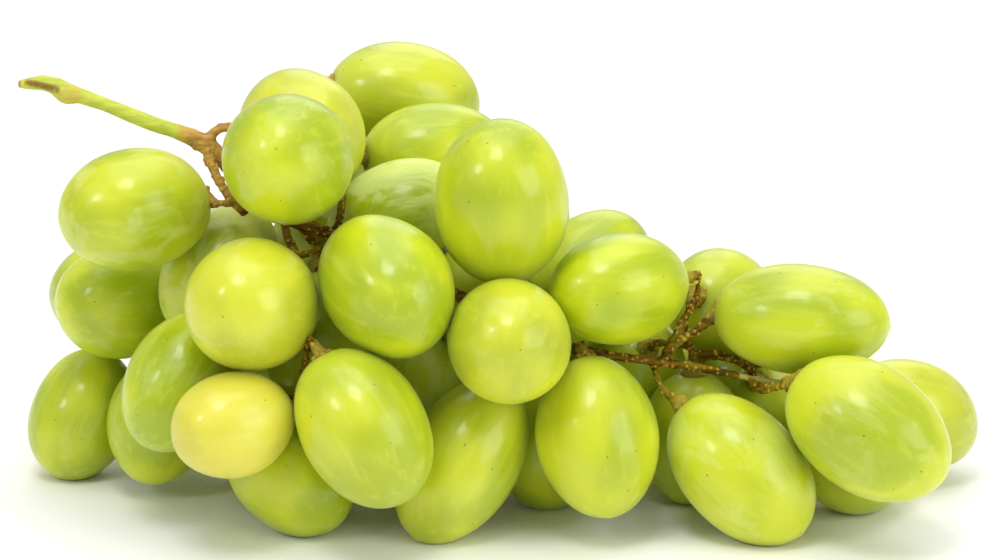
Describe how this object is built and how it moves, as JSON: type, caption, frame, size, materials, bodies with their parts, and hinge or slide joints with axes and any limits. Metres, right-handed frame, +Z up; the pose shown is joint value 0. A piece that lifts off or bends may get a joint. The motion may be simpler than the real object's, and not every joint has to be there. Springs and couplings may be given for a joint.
{
  "type": "bunch of grapes",
  "caption": "A picked bunch of white table grapes lying on its side: long oval berries packed round one branched woody stem, whose green cut stalk sticks out at the wide end",
  "frame": {"origin": "on the table, under the middle of the bunch's box", "axes": "+X along the bunch from the cut stalk to its thin end, +Y away from the side that is seen, +Z up"},
  "size_m": [0.1516, 0.0876, 0.0679],
  "materials": {
    "stem": "dry brown bark, the stalk yellow-green",
    "grape_green": "taut waxy skin, yellow-green, slightly translucent",
    "grape_yellow": "taut waxy skin, riper and yellower"
  },
  "bodies": {
    "root": {"stem": "stem", "berry_01": "grape_green", "berry_02": "grape_green", "berry_03": "grape_green", "berry_04": "grape_green", "berry_05": "grape_green", "berry_06": "grape_green", "berry_07": "grape_yellow", "berry_08": "grape_yellow", "berry_09": "grape_green", "berry_10": "grape_green", "berry_11": "grape_yellow", "berry_12": "grape_green", "berry_13": "grape_green", "berry_14": "grape_green", "berry_15": "grape_green", "berry_16": "grape_green", "berry_17": "grape_green", "berry_18": "grape_green", "berry_19": "grape_green", "berry_20": "grape_green", "berry_21": "grape_green", "berry_22": "grape_green", "berry_23": "grape_green", "berry_24": "grape_green", "berry_25": "grape_green", "berry_26": "grape_green", "berry_27": "grape_green", "berry_28": "grape_green", "berry_29": "grape_green", "berry_30": "grape_green", "berry_31": "grape_green", "berry_32": "grape_green", "berry_33": "grape_green", "berry_34": "grape_green", "berry_35": "grape_green", "berry_36": "grape_green", "berry_37": "grape_green", "berry_38": "grape_green", "berry_39": "grape_green", "berry_40": "grape_green", "berry_41": "grape_green", "berry_42": "grape_green", "berry_43": "grape_green", "berry_44": "grape_green", "berry_45": "grape_green", "berry_46": "grape_green", "berry_47": "grape_green", "berry_48": "grape_green", "berry_49": "grape_green", "berry_50": "grape_green"}
  },
  "joints": []
}
